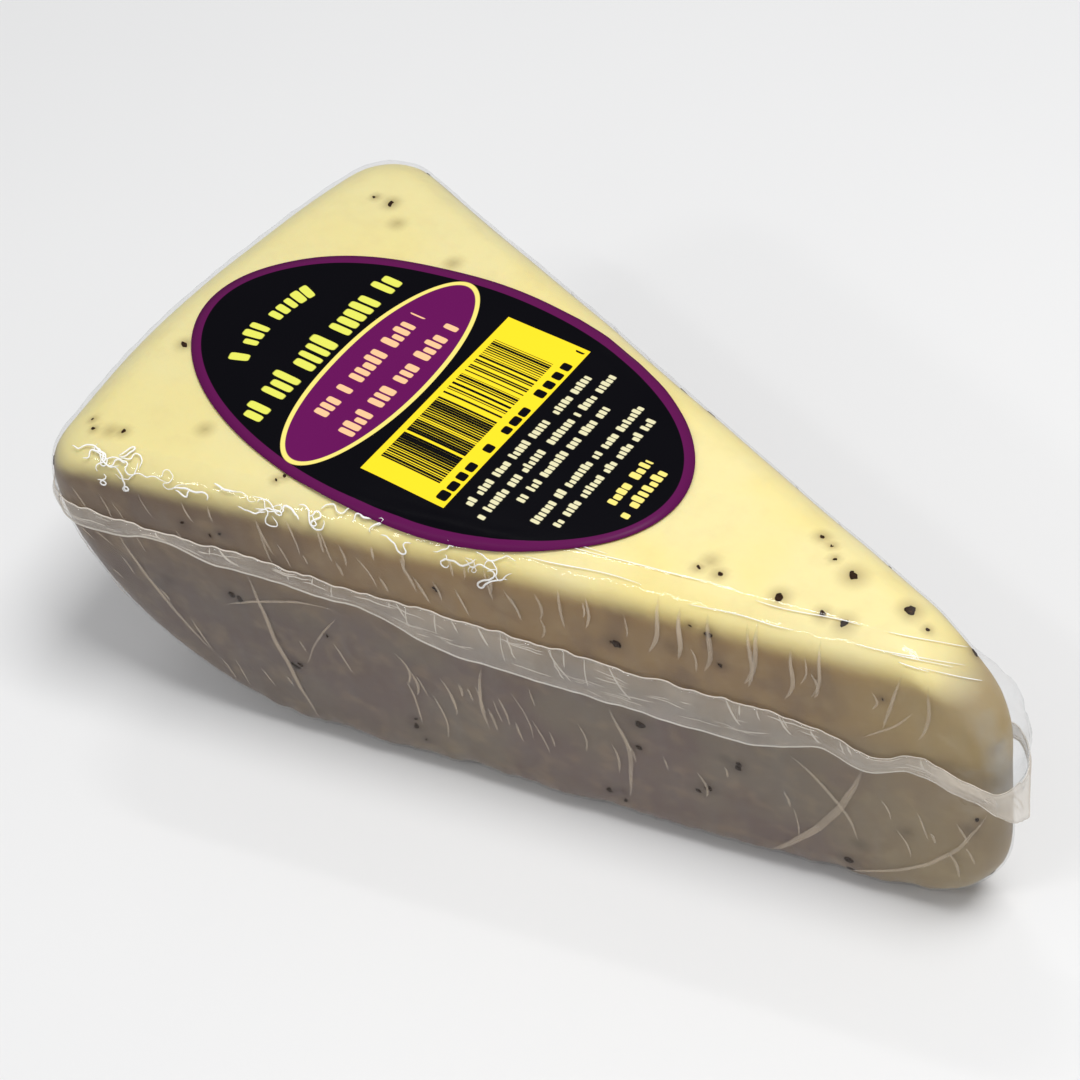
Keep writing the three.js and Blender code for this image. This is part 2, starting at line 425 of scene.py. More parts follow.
def chip_finish():
    material, tree, at, surface = new_material("cracked pepper")
    husk = mixed(cloud(at, 0.35 * MM, 3.0), DARK_HUSK, BROWN_HUSK)
    pale = rise(cloud(at, 0.8 * MM, 2.0), 0.62, 0.75)
    shader = add(tree, "ShaderNodeBsdfPrincipled", {
        "Base Color": mixed(times(pale, 0.5), husk, PALE_CORE),
        "Roughness": 0.7,
        "Specular IOR Level": 0.05,
        "Normal": bumped(cloud(at, 0.25 * MM, 3.0), 0.05 * MM),
    })
    tree.links.new(shader.outputs[0], surface)
    return material


def height_over(piece, at):
    """How high a point stands over another piece, and the outward direction there."""
    tree = tree_of(at)
    body = add(tree, "GeometryNodeObjectInfo", {"Object": piece}, transform_space="RELATIVE")
    body = body.outputs["Geometry"]
    nearest = add(
        tree, "GeometryNodeProximity", {0: body, "Sample Position": at}, target_element="FACES")
    outward = add(
        tree, "GeometryNodeSampleNearestSurface",
        {0: body, "Value": add(tree, "GeometryNodeInputNormal").outputs[0], "Sample Position": at},
        data_type="FLOAT_VECTOR").outputs[0]
    off = vector_calc("SUBTRACT", at, nearest.outputs["Position"])
    return vector_calc("DOT_PRODUCT", off, outward, result=1), outward


def chip_tree():
    tree, given, at = new_tree(
        "pepper chips", Cheese="Object", Rough="Float", Skin="Float", Seed="Int", Finish="Material")
    size = add(tree, "GeometryNodeInputNamedAttribute", {"Name": "size"}, data_type="FLOAT").outputs[0]
    turn = add(
        tree, "FunctionNodeRandomValue", {1: (math.tau,) * 3, "Seed": given["Seed"]},
        data_type="FLOAT_VECTOR").outputs[0]
    chip = add(tree, "GeometryNodeMeshIcoSphere", {"Radius": 0.5, "Subdivisions": 2}).outputs[0]
    spread = scaled(CHIP_FLAT, size)
    strewn = add(tree, "GeometryNodeInstanceOnPoints", {
        "Points": given["Mesh"], "Instance": chip, "Rotation": turn, "Scale": spread})
    loose = add(tree, "GeometryNodeRealizeInstances", {"Geometry": strewn.outputs[0]}).outputs[0]
    fold = add(tree, "ShaderNodeTexNoise", {"Vector": scaled(at, 1 / MM), "Scale": 0.9}).outputs[1]
    shift = scaled(vector_calc("SUBTRACT", fold, (0.5, 0.5, 0.5)), given["Rough"])
    craggy = add(tree, "GeometryNodeSetPosition", {"Geometry": loose, "Offset": shift}).outputs[0]
    height, outward = height_over(given["Cheese"], at)
    shaved = calc("MAXIMUM", less(height, given["Skin"]), 0.0)
    cut = scaled(outward, times(shaved, -1.0))
    flush = add(tree, "GeometryNodeSetPosition", {"Geometry": craggy, "Offset": cut}).outputs[0]
    close_tree(flush, given["Finish"])
    return tree


all_chips = chip_places()
stain_cheese(all_chips)
shown_chips = [chip for chip in all_chips if chip[2]]
chip_points = bpy.data.meshes.new("chip_points")
chip_points.from_pydata([p - n * s * MM * CHIP_DEPTH_SHARE for p, n, s in shown_chips], [], [])
chip_sizes = chip_points.attributes.new("size", "FLOAT", "POINT")
chip_sizes.data.foreach_set("value", [s * MM for _, _, s in shown_chips])
pepper = place("pepper_chips", shaped(
    chip_points, chip_tree(), Cheese=cheese, Rough=1.1 * MM, Skin=0.08 * MM, Seed=CHIP_SEED,
    Finish=chip_finish()))
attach(pepper, "root")


# ----------------------------------------------------------------------------
# The film
# Clear shrink film in two halves, drawn tight over the cheese by heat. It is smooth on the top,
# crinkled round the top edges, puckered on the upright sides, and stands off the tip.

FILM_GAP = 0.24 * MM
EDGE_CRINKLE = 0.50 * MM
SIDE_PUCKER = 0.16 * MM
TIP_BULGE = 1.6 * MM
TIP_GLARE_AT = Vector((59.0, -1.5, 46.0)) * MM
FILM_ROUGHNESS = 0.06
CLEAR = (0.985, 0.985, 0.985, 1)
COOL_MILK = (0.66, 0.73, 0.77, 1)
WARM_MILK = (0.93, 0.86, 0.76, 1)
# The creases' milk is partly a painted sheen off their ridges.
CREASE_MILK_AND_SHEEN = (0.84, 0.70, 0.54, 1)
# The brightest milk paints the highlights on the top edge's crinkles.
HIGHLIGHT_MILK = (0.98, 0.97, 0.94, 1)


def film_finish(name, haze, wrinkle=0.10 * MM, ruffle="", shine=0.02, rim=0.45, milk=COOL_MILK):
    """Clear film. haze is its share of milk: a number, or the attribute that holds it. The milk is the
    film's clouding, and in places it paints a glare and highlights. ruffle is the attribute that says
    where it is wrinkled, if it isn't everywhere."""
    material, tree, at, surface = new_material(name)
    fine = cloud(at, 1.5 * MM, 1.5, (1, 1, 3))
    if ruffle:
        fine = times(fine, held(tree, ruffle))
    normal = bumped(fine, wrinkle)
    grazing = add(tree, "ShaderNodeLayerWeight", {"Blend": 0.5, "Normal": normal}).outputs["Facing"]
    mirror = calc("MULTIPLY_ADD", calc("POWER", grazing, 5.0), rim, shine)
    through = add(tree, "ShaderNodeBsdfTransparent", {"Color": CLEAR}).outputs[0]
    gleam = add(tree, "ShaderNodeBsdfGlossy", {"Roughness": FILM_ROUGHNESS, "Normal": normal}).outputs[0]
    clear = add(tree, "ShaderNodeMixShader", {0: mirror, 1: through, 2: gleam}).outputs[0]
    cloudy_and_sheen = add(tree, "ShaderNodeBsdfDiffuse", {"Color": milk, "Normal": normal}).outputs[0]
    if isinstance(haze, str):
        patchy = calc("MULTIPLY_ADD", cloud(at, 5 * MM, 1.0, (1, 1, 2)), 1.4, 0.3)
        haze = calc("MULTIPLY", held(tree, haze), patchy, clamp=True)
    film = add(tree, "ShaderNodeMixShader", {0: haze, 1: clear, 2: cloudy_and_sheen}).outputs[0]
    tree.links.new(film, surface)
    return material


def film_tree():
    tree, given, at = new_tree(
        "shrunk film", Gap="Float", Crinkle="Float", Pucker="Float", Bulge="Float", Finish="Material")
    normal = add(tree, "GeometryNodeInputNormal").outputs[0]
    split = parts(at)
    faced = parts(normal)
    facing_up, facing_tip = faced["Z"], faced["X"]
    rounded = times(
        rise(facing_up, 0.30, 0.70), rise(facing_up, 0.998, 0.975), rise(split["Z"], 38 * MM, 42 * MM))
    calm_tip = calc("MULTIPLY_ADD", rise(split["X"], 2 * MM, 14 * MM), -0.85, 1.0)
    crinkle = times(rounded, calm_tip, cloud(at, 3.4 * MM, 2.0), given["Crinkle"])
    upright = rise(calc("ABSOLUTE", facing_up), 0.5, 0.2)
    streak = rise(cloud(at, 2.0 * MM, 2.0, (1, 1, 5)), 0.45, 0.8)
    patch = rise(cloud(at, 14 * MM, 1.0), 0.4, 0.6)
    pucker = times(streak, patch, upright, given["Pucker"])
    tip = times(
        rise(split["X"], 54 * MM, 61 * MM), rise(split["Z"], 22 * MM, 28 * MM),
        rise(facing_up, 0.85, 0.45))
    uneven = calc("MULTIPLY_ADD", cloud(at, 3.4 * MM, 2.0), 1.5, 0.25)
    bulge = times(tip, uneven, given["Bulge"])
    off = calc("ADD", calc("ADD", crinkle, pucker), calc("ADD", bulge, given["Gap"]))
    moved = vector_calc("ADD", at, scaled(normal, off))
    kept = vector_calc("MAXIMUM", moved, (-1, -1, 0.03 * MM))
    sheet = add(tree, "GeometryNodeSetPosition", {"Geometry": given["Mesh"], "Position": kept})
    below_seam = times(rise(split["Z"], 34 * MM, 26 * MM), 0.02)
    cloudy_and_sheen = calc("ADD", times(rounded, 0.03), below_seam)
    fin = times(tip, rise(facing_tip, 0.2, 1.0))
    fin_streaks = rise(cloud(at, 4.0 * MM, 2.0, (1, 1, 4)), 0.20, 0.80)
    cloudy_and_sheen = calc("MULTIPLY_ADD", times(fin, fin_streaks), 0.33, cloudy_and_sheen)
    # A milky patch on the tip's rounded top paints a glare there.
    off_glare = vector_calc("DISTANCE", at, TIP_GLARE_AT, result=1)
    glare = times(rise(off_glare, 8 * MM, 1 * MM), cloud(at, 2.4 * MM, 2.0, (3, 1, 1)))
    cloudy_and_sheen = calc("MULTIPLY_ADD", glare, 0.35, cloudy_and_sheen)
    cloudy_and_sheen = calc("MULTIPLY_ADD", times(streak, upright), 0.03, cloudy_and_sheen)
    ruffled = rise(facing_up, 0.995, 0.90)
    hazy = marked(sheet.outputs[0], "haze", cloudy_and_sheen)
    close_tree(marked(hazy, "ruffle", ruffled), given["Finish"])
    return tree


film_mesh = shaped(
    cheese.data.copy(), film_tree(), Gap=FILM_GAP, Crinkle=EDGE_CRINKLE, Pucker=SIDE_PUCKER,
    Bulge=TIP_BULGE, Finish=film_finish("shrink film", "haze", ruffle="ruffle"))
film = place("film_cover", film_mesh)
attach(film, "root")
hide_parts("wrapped_wedge")
film_surface = surface_tree(film_mesh)


# ----------------------------------------------------------------------------
# The creases
# Where the film has shrunk unevenly it is gathered in ridges: a few long folds that run down from
# the seam, and many short upright puckers. They are the film itself, drawn up and turned milky, and
# their milk is in part a painted sheen off the ridges.

# face, its two ends in mm along and up the face, how far it bows to the side, half width
FOLDS = [
    ("near", (-48, 35), (-39, 13), -1.0, 0.32),
    ("near", (-30, 33), (-26, 4), -0.5, 0.42),
    ("near", (-35, 25), (-19, 30), 1.0, 0.26),
    ("near", (-19, 28), (-25, 17), -0.5, 0.20),
    ("near", (0, 26), (-1, 13), -0.5, 0.28),
    ("near", (16, 25), (17, 7), 1.5, 0.36),
    ("near", (47, 26), (34, 3), 2.0, 0.62),
    ("near", (38, 25), (46, 11), 1.5, 0.30),
    ("near", (61, 23), (43, 3), 3.5, 0.34),
    ("near", (53, 39), (47, 32), 0.5, 0.20),
    ("far", (-40, 33), (-35, 6), -1.0, 0.30),
    ("far", (-12, 31), (-11, 14), 2.0, 0.20),
    ("far", (12, 26), (2, 5), 2.0, 0.34),
    ("far", (44, 22), (31, 4), 2.0, 0.30),
    ("rind", (-17, 36), (-15, 9), 2.0, 0.26),
    ("rind", (14, 36), (16, 10), -2.0, 0.28),
]
# face, range along it, range of upper ends, number, lengths, lean and bow as shares of the length,
# half widths
PUCKERS = [
    ("near", (-28, 6), (39, 45), 22, (2.0, 6.5), 0.22, 0.05, (0.14, 0.28)),
    ("near", (4, 17), (42, 45), 4, (4.0, 7.0), 0.12, 0.10, (0.16, 0.28)),
    ("near", (22, 43), (44, 46), 7, (6.0, 9.5), -0.03, 0.14, (0.24, 0.42)),
    ("near", (50, 56), (43, 45), 2, (9.0, 13.0), -0.15, 0.08, (0.26, 0.40)),
    ("near", (8, 52), (39, 44), 8, (2.5, 6.0), 0.0, 0.10, (0.14, 0.24)),
    ("near", (-13, 8), (16, 25), 18, (2.5, 9.0), 0.12, 0.05, (0.15, 0.28)),
    ("near", (9, 42), (13, 22), 8, (2.0, 6.0), 0.10, 0.08, (0.14, 0.26)),
    ("near", (-55, -30), (36, 44), 11, (2.0, 5.0), 0.35, 0.0, (0.10, 0.20)),
    ("near", (-50, -20), (12, 30), 9, (2.0, 6.0), 0.30, 0.0, (0.12, 0.24)),
    ("near", (-62, -51), (20, 35), 16, (1.5, 4.0), 0.9, 0.10, (0.12, 0.26)),
    ("near", (48, 60), (12, 22), 7, (2.0, 6.0), 0.30, 0.05, (0.14, 0.28)),
    ("far", (-55, 55), (36, 44), 48, (2.5, 8.0), 0.15, 0.05, (0.11, 0.26)),
    ("far", (-38, 48), (9, 26), 40, (2.5, 9.0), 0.15, 0.05, (0.11, 0.26)),
    ("rind", (-27, 27), (36, 43), 26, (2.0, 6.0), 0.15, 0.05, (0.11, 0.24)),
    ("rind", (-24, 24), (10, 32), 32, (2.5, 8.0), 0.15, 0.05, (0.11, 0.24)),
]
FOLD_STEPS = 24
PUCKER_STEPS = 6
CREASE_SEED = 5
# The crinkles and long lines on the near top edge are raised film, milk-white so that they paint the
# highlights that glint along that edge.
# range along the near top edge, number, range of lengths, range of places across the edge
EDGE_SCRIBBLES = ((-56, 4), 36, (3.0, 11.0), (-1.5, 1.7))
# range along the near top edge, place across it
EDGE_LINES = [
    (5, 17, 4.0), (11, 30, 3.5), (34, 47, 3.0), (49, 58, 3.0), (7, 22, 1.5),
    (27, 40, 1.0), (46, 58, 1.0), (50, 57, 0.6), (53, 60, 0.2), (51, 55, 0.1),
]
SCRIBBLE_STEP = 0.25
SCRIBBLE_BEND = 0.29  # how much a scribble's heading may bend at each step, in radians
BEND_KEPT = 0.6
STRAIGHTENING = 0.07
HOMING = 0.30
SCRIBBLE_WIDTHS = (0.08, 0.17)


def ridge_tree():
    tree, given, at = new_tree(
        "ridges", Film="Object", Step="Float", Taper="Float", Flatten="Float", Sunk="Float", Milk="Float",
        Sides="Int", Finish="Material")
    line = add(tree, "GeometryNodeMeshToCurve", {"Mesh": given["Mesh"]}).outputs[0]
    even = add(tree, "GeometryNodeResampleCurve", {"Curve": line, "Length": given["Step"]}, mode="LENGTH")
    along = add(tree, "GeometryNodeSplineParameter").outputs["Factor"]
    hump = times(along, less(1.0, along), 4.0)
    share = calc("POWER", hump, given["Taper"])
    half_width = add(
        tree, "GeometryNodeInputNamedAttribute", {"Name": "half_width"}, data_type="FLOAT").outputs[0]
    radius = calc("MAXIMUM", times(half_width, share), 0.01 * MM)
    circle = {"Resolution": given["Sides"], "Radius": 1.0}
    section = add(tree, "GeometryNodeCurvePrimitiveCircle", circle).outputs[0]
    swept = {"Curve": even.outputs[0], "Profile Curve": section, "Scale": radius, "Fill Caps": True}
    ridge = add(tree, "GeometryNodeCurveToMesh", swept).outputs[0]
    height, outward = height_over(given["Film"], at)
    low = calc("MAXIMUM", times(height, given["Flatten"]), given["Sunk"])
    drawn = scaled(outward, less(low, height))
    # The milk on a ridge's crown is the film's clouding, and on the edge crinkles and creases it also
    # paints highlights and sheen.
    milk_and_sheen = calc("DIVIDE", height, calc("MAXIMUM", half_width, 0.01 * MM))
    milk_and_sheen = times(rise(milk_and_sheen, 0.0, 0.8), given["Milk"])
    hazy = marked(ridge, "haze", milk_and_sheen)
    laid = add(tree, "GeometryNodeSetPosition", {"Geometry": hazy, "Offset": drawn}).outputs[0]
    close_tree(laid, given["Finish"])
    return tree


def lines_mesh(name, lines):
    """Lines as loose edges: each is its points, its half width and whether it closes on itself."""
    points = [p for line, _, _ in lines for p in line]
    edges, widths = [], []
    for line, half_width, closed in lines:
        start = len(widths)
        widths += [half_width] * len(line)
        edges += [(start + i, start + i + 1) for i in range(len(line) - 1)]
        if closed:
            edges.append((start + len(line) - 1, start))
    mesh = bpy.data.meshes.new(name)
    mesh.from_pydata(points, edges, [])
    mesh.attributes.new("half_width", "FLOAT", "POINT").data.foreach_set("value", widths)
    return mesh


def bowed(start, end, bow, steps):
    """Points from one end of a fold to the other, bowed out to the side by this much."""
    (u, v), (du, dv) = start, (end[0] - start[0], end[1] - start[1])
    length = math.hypot(du, dv)
    points = []
    for i in range(steps + 1):
        share = i / steps
        off = bow * math.sin(math.pi * share) + 0.35 * noise.noise((share * length / 5, u, v))
        points.append((u + du * share - dv / length * off, v + dv * share + du / length * off))
    return points


def film_line(face, points):
    """The line that these points make on the film, without those that miss it."""
    hits = [point_on(film_surface, face, u, v)[0] for u, v in points]
    return [hit for hit in hits if hit]


def crease_lines():
    lines = []
    for face, start, end, bow, half_width in FOLDS:
        lines.append((film_line(face, bowed(start, end, bow, FOLD_STEPS)), half_width * MM, False))
    draw = random.Random(CREASE_SEED)
    for face, (near, far), tops, number, lengths, lean, bow, widths in PUCKERS:
        for i in range(number):
            u = near + (far - near) * (i + draw.random()) / number
            v, length = draw.uniform(*tops), draw.uniform(*lengths)
            end = (u + (lean + draw.gauss(0, 0.06)) * length, v - length)
            points = bowed((u, v), end, (bow + draw.gauss(0, 0.04)) * length, PUCKER_STEPS)
            line = film_line(face, points)
            half_width = draw.uniform(*widths) * MM
            if len(line) > 2:
                lines.append((line, half_width, False))
    return lines


def scribble_lines():
    """The curling crinkles along the rounded top edge, and the long lines beyond them to the tip. Their
    white milk paints the highlights along that edge.
    """
    span, number, lengths, places = EDGE_SCRIBBLES
    draw = random.Random(CREASE_SEED + 7)
    lines = []
    for _ in range(number):
        u, middle, heading = draw.uniform(*span), draw.uniform(*places), 0.0
        v, bend, points = middle, 0.0, []
        for _ in range(int(draw.uniform(*lengths) / SCRIBBLE_STEP)):
            points.append((u, v))
            bend = BEND_KEPT * bend + draw.gauss(0, SCRIBBLE_BEND)
            heading += bend - STRAIGHTENING * heading - HOMING * (v - middle)
            u += SCRIBBLE_STEP * math.cos(heading)
            v += SCRIBBLE_STEP * math.sin(heading) * 0.8
        lines.append((film_line("near edge", points), draw.uniform(*SCRIBBLE_WIDTHS) * MM, False))
    for start, end, place_across in EDGE_LINES:
        points = []
        for i in range(int((end - start) / (2 * SCRIBBLE_STEP))):
            u = start + 2 * SCRIBBLE_STEP * i
            points.append((u, place_across + 0.7 * noise.noise((u / 9, place_across, 0.5))))
        lines.append((film_line("near edge", points), SCRIBBLE_WIDTHS[0] * MM, False))
    return lines


def ridged(name, lines, body, finish, **shape):
    """A piece made of ridges that follow these lines over another piece."""
    mesh = shaped(lines_mesh(name + "_lines", lines), ridges, Film=body, Finish=finish, **shape)
    return place(name, mesh)


ridges = ridge_tree()
creases = ridged(
    "film_creases", crease_lines(), film, film_finish("drawn up film", "haze", rim=0.0, milk=CREASE_MILK_AND_SHEEN),
    Step=0.5 * MM, Taper=0.6, Flatten=0.4, Sunk=-0.04 * MM, Milk=0.34, Sides=8)
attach(creases, "root")
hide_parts("wrapped_wedge")

# Raised crinkles on the near top edge, white with painted highlights.
highlight_scribbles = ridged(
    "film_crinkles", scribble_lines(), film,
    film_finish("crinkled film highlights", "haze", shine=0.03, rim=0.0, milk=HIGHLIGHT_MILK),
    Step=0.3 * MM, Taper=0.3, Flatten=0.8, Sunk=-0.04 * MM, Milk=1.0, Sides=6)
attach(highlight_scribbles, "root")
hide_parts("wrapped_wedge")


# ----------------------------------------------------------------------------
# The seam
# The weld of the two films runs all round the wedge as a narrow flap of doubled film that hangs
# down from the weld. It is milky and wavy, broadest half way along, and ends at the tip in an ear.

WHEEL_AXIS = Vector((73.4, 0.2))
SEAM_AT_AXIS = 29.5
SEAM_AT_RIND = 38.0
WHEEL_RADIUS = 137.0
PINCHES = [(-1, 27.0, 2.6), (1, 52.0, 2.2)]  # side, distance from the wheel's axis, dip
PINCH_REACH = 6.0
WELD_JITTER = 0.60
FLAP_HAZE = 0.13
EAR_HAZE = 0.19
RIPPLES = 120
TUCK_CHANCE = 0.11
TUCK_WIDTHS = (0.07, 0.14)
RIPPLE_WIDTHS = (0.04, 0.09)
FLAP_WALL = 0.12
DROP_AT_RIND = 3.2
# distances from the wheel's axis over which the flap's drop changes, and the change
DROP_CHANGES = [(127, 120, -2.0), (120, 111, 1.5), (93, 77, 4.0), (42, 31, -4.0)]
EAR_DROP = 5.0
EAR_DIP = 2.2
EAR_OUT = 0.1
FLAP_OFF = 0.10
FLAP_BELLY = 0.35
FLAP_FLARE = 0.40
EAR_FROM = 14.5
EAR_TO = 8.8
EAR_POINT = 3.2
EAR_POINT_AT = 2.2
EAR_POINT_REACH = 3.0
EAR_POINT_SPAN = (16, 12)  # distances from the wheel's axis over which it grows
EAR_HAZE_SPAN = (34, 12)
FAR_STAND_OFF = 0.35
FLAP_COLUMNS = 760
FLAP_ROWS = 8
CASTING_CENTRE = Vector((20.0, 0.2))
CASTS = 3000


def ease(value, low, high):
    """The smooth step of a value from 0 at low to 1 at high."""
    share = min(max((value - low) / (high - low), 0.0), 1.0)
    return share * share * (3 - 2 * share)


def axis_distance(spot):
    """How far a point is from the wheel's axis, in mm."""
    return (spot.xy / MM - WHEEL_AXIS).length


def weld_height(spot):
    """The weld's height over the base, in mm. It slopes to the tip, and dips where it is pinched."""
    from_axis = axis_distance(spot)
    height = SEAM_AT_AXIS + (SEAM_AT_RIND - SEAM_AT_AXIS) * from_axis / WHEEL_RADIUS
    for side, pinch_at, dip in PINCHES:
        if side * spot.y > 0:
            height -= dip * ease(abs(from_axis - pinch_at), PINCH_REACH, 0)
    return height - EAR_DIP * ease(from_axis, EAR_FROM, EAR_TO)


def weld_points():
    """Points all round the film at the weld's height, evenly spaced, with their outward directions."""
    found = []
    for i in range(CASTS):
        angle = math.tau * i / CASTS
        towards = Vector((math.cos(angle), math.sin(angle), 0))
        height = 30.0
        for _ in range(3):
            start = Vector((*CASTING_CENTRE, height)) * MM
            spot = film_surface.ray_cast(start, towards)[0]
            height = weld_height(spot)
        found.append(spot)
    lengths = [0.0]
    for i in range(CASTS):
        lengths.append(lengths[-1] + (found[(i + 1) % CASTS] - found[i]).length)
    even, i = [], 0
    for column in range(FLAP_COLUMNS):
        wanted = lengths[-1] * column / FLAP_COLUMNS
        while lengths[i + 1] < wanted:
            i += 1
        share = (wanted - lengths[i]) / (lengths[i + 1] - lengths[i])
        even.append(found[i].lerp(found[(i + 1) % CASTS], share))
    raised = []
    for i, spot in enumerate(even):
        along = lengths[-1] * i / FLAP_COLUMNS / MM
        jitter = noise.noise((along / 5.5, 6.6, 0)) + 0.9 * noise.noise((along / 1.6, 2.6, 0))
        raised.append(WELD_JITTER * jitter)
        even[i] = spot + Vector((0, 0, raised[i] * MM))
    round_it = []
    for i, spot in enumerate(even):
        ahead = even[(i + 3) % FLAP_COLUMNS] - even[i - 3]
        outward = Vector((ahead.y, -ahead.x, 0)).normalized()
        round_it.append((spot, outward, lengths[-1] * i / FLAP_COLUMNS / MM, raised[i]))
    return round_it


def flap_column(spot, outward, along, raised):
    """The points down one column of the flap, from the weld to its free edge."""
    from_axis = axis_distance(spot)
    tip = ease(from_axis, EAR_FROM, EAR_TO) ** 1.5
    drop = DROP_AT_RIND + EAR_DROP * tip ** 2
    off_point = abs(spot.y / MM - EAR_POINT_AT) / EAR_POINT_REACH
    drop += EAR_POINT * ease(from_axis, *EAR_POINT_SPAN) * max(1 - off_point, 0) ** 1.5
    for start, end, change in DROP_CHANGES:
        drop += change * ease(from_axis, start, end)
    drop = drop * (1 + 0.10 * noise.noise((along / 11, 3.1, 0))) + raised
    wave = noise.noise((along / 7, 8.3, 0)) * 0.6 + noise.noise((along / 2.0, 4.4, 0)) * 0.12
    stand_off = FAR_STAND_OFF + (1 - FAR_STAND_OFF) * max(ease(-outward.y, 0.2, 0.8), tip)
    line = []
    for row in range(FLAP_ROWS + 1):
        share = row / FLAP_ROWS
        belly = FLAP_BELLY * math.sin(math.pi * min(share * 1.4, 1)) * (1 - tip)
        flare = (FLAP_FLARE + EAR_OUT * tip + max(wave, -0.3)) * share
        out = FLAP_OFF + stand_off * (belly + flare)
        line.append(spot + (outward * out - Vector((0, 0, drop * share))) * MM)
    return line


weld = weld_points()
flap_columns = [flap_column(*column) for column in weld]
flap_mesh = bpy.data.meshes.new("flap")
across = FLAP_ROWS + 1
flap_faces = []
for column in range(FLAP_COLUMNS):
    here, following = column * across, (column + 1) % FLAP_COLUMNS * across
    for row in range(FLAP_ROWS):
        flap_faces.append((here + row, here + row + 1, following + row + 1, following + row))
flap_mesh.from_pydata([p for column in flap_columns for p in column], [], flap_faces)
flap_mesh.shade_smooth()
ear_shares = [ease(axis_distance(p), *EAR_HAZE_SPAN) for column in flap_columns for p in column]
flap_haze = [FLAP_HAZE + EAR_HAZE * share for share in ear_shares]
flap_mesh.attributes.new("haze", "FLOAT", "POINT").data.foreach_set("value", flap_haze)
flap_mesh.materials.append(film_finish("doubled film", "haze", wrinkle=0.45 * MM, milk=WARM_MILK))
flap_sheet = place("flap_sheet", flap_mesh)
walls = flap_sheet.modifiers.new("two films", "SOLIDIFY")
walls.thickness = FLAP_WALL * MM
walls.offset = 1.0
flap = place("seam_flap_film", made_plain(flap_sheet))
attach(flap, "root")
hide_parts("seam_flap")


def edge_lines():
    """The flap's free edge, and the weld line above it."""
    lines = [([column[-1] for column in flap_columns], 0.12 * MM, True)]
    lines.append(([column[0] + Vector((0, 0, 0.1 * MM)) for column in flap_columns], 0.09 * MM, True))
    return lines


def tuck_lines():
    """The short tucks that run down the flap from its weld, and the ripples along it."""
    lines = []
    draw = random.Random(CREASE_SEED + 1)
    for i, column in enumerate(flap_columns):
        if draw.random() < TUCK_CHANCE:
            reach = draw.choice((2, 3, 4, 6))
            sideways = draw.choice((0, 1, 2))
            tuck = [flap_columns[(i + sideways * k // 2) % FLAP_COLUMNS][k] for k in range(reach + 1)]
            lines.append((tuck, draw.uniform(*TUCK_WIDTHS) * MM, False))
    for _ in range(RIPPLES):
        start, row = draw.randrange(FLAP_COLUMNS), draw.uniform(0.5, FLAP_ROWS - 1)
        length = draw.randrange(4, 16)
        slope = draw.uniform(-0.12, 0.12)
        ripple = []
        for k in range(length):
            column = flap_columns[(start + k) % FLAP_COLUMNS]
            down = min(max(row + slope * k, 0), FLAP_ROWS - 0.01)
            ripple.append(column[int(down)].lerp(column[int(down) + 1], down % 1))
        lines.append((ripple, draw.uniform(*RIPPLE_WIDTHS) * MM, False))
    return lines


# name, lines, the ridges' taper, their film's name and its share of milk
RAISED_LINES = [
    ("seam_edges", edge_lines(), 0.25, "welded film", 0.9),
    ("seam_tucks", tuck_lines(), 0.4, "tucked film", 0.5),
]
for name, lines, taper, film_name, haze in RAISED_LINES:
    finish = film_finish(film_name, haze, shine=0.03, rim=0.0, milk=WARM_MILK)
    raised_lines = ridged(
        name, lines, flap, finish,
        Step=0.5 * MM, Taper=taper, Flatten=1.0, Sunk=-1 * MM, Milk=1.0, Sides=6)
    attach(raised_lines, "root")
    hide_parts("seam_flap")


# ----------------------------------------------------------------------------
# The label
# A glossy oval paper sticker, pressed on the film over the top face. It is printed in near-black
# with a purple rim and oval, yellow and peach blocks for its words, and a panel of black bars.

LABEL_CENTRE = (-19.2, -1.08)
LABEL_TURN = math.radians(2.2)
LABEL_HALF = (36.5, 19.9)
LABEL_THICKNESS = 0.12
LABEL_GAP = 0.03
LABEL_RINGS = 26
LABEL_STEPS = 168
LABEL_RIM = 1.35


def rgb(red, green, blue):
    """The linear colour that a material takes, from screen values of 0 to 255."""
    linear = [((v / 255 + 0.055) / 1.055) ** 2.4 for v in (red, green, blue)]
    return (*linear, 1.0)


PURPLE = rgb(94, 20, 78)
NEAR_BLACK = rgb(3, 2, 9)
OVAL_PURPLE = rgb(100, 16, 86)
PALE_YELLOW = rgb(244, 226, 122)
YELLOW = rgb(226, 228, 96)
PANEL_YELLOW = rgb(250, 222, 40)
PEACH = rgb(251, 196, 148)
SMALL_PRINT = rgb(226, 220, 178)
# along the label to the row's middle, height, half length, pitch of the blocks, colour
BLOCK_ROWS = [
    (-18.0, 4.2, 15.0, 1.45, YELLOW),
    (-10.5, 2.6, 10.0, 1.15, PEACH),
    (-5.5, 2.6, 11.0, 1.15, PEACH),
    (15.0, 1.3, 12.5, 0.66, SMALL_PRINT),
    (17.5, 1.3, 13.5, 0.66, SMALL_PRINT),
    (20.0, 1.3, 9.0, 0.66, SMALL_PRINT),
    (23.5, 1.3, 11.5, 0.66, SMALL_PRINT),
    (26.0, 1.3, 10.0, 0.66, SMALL_PRINT),
    (29.5, 1.6, 4.0, 0.95, PALE_YELLOW),
    (32.0, 1.6, 5.0, 0.95, PALE_YELLOW),
]
ARCHED_ROW = (-5.0, 22.2, 3.2, 1.4)  # the arc's centre along the label, its radius, height, pitch
ARCHED_HALF_ANGLE = math.radians(21.0)
OVAL_AT = -8.2
OVAL_RING = (6.9, 18.0)  # its half sizes along and across the label
OVAL_INSIDE = (6.25, 17.35)
PANEL_ALONG, PANEL_CROSS = (0.0, 12.8), (-14.3, 15.4)
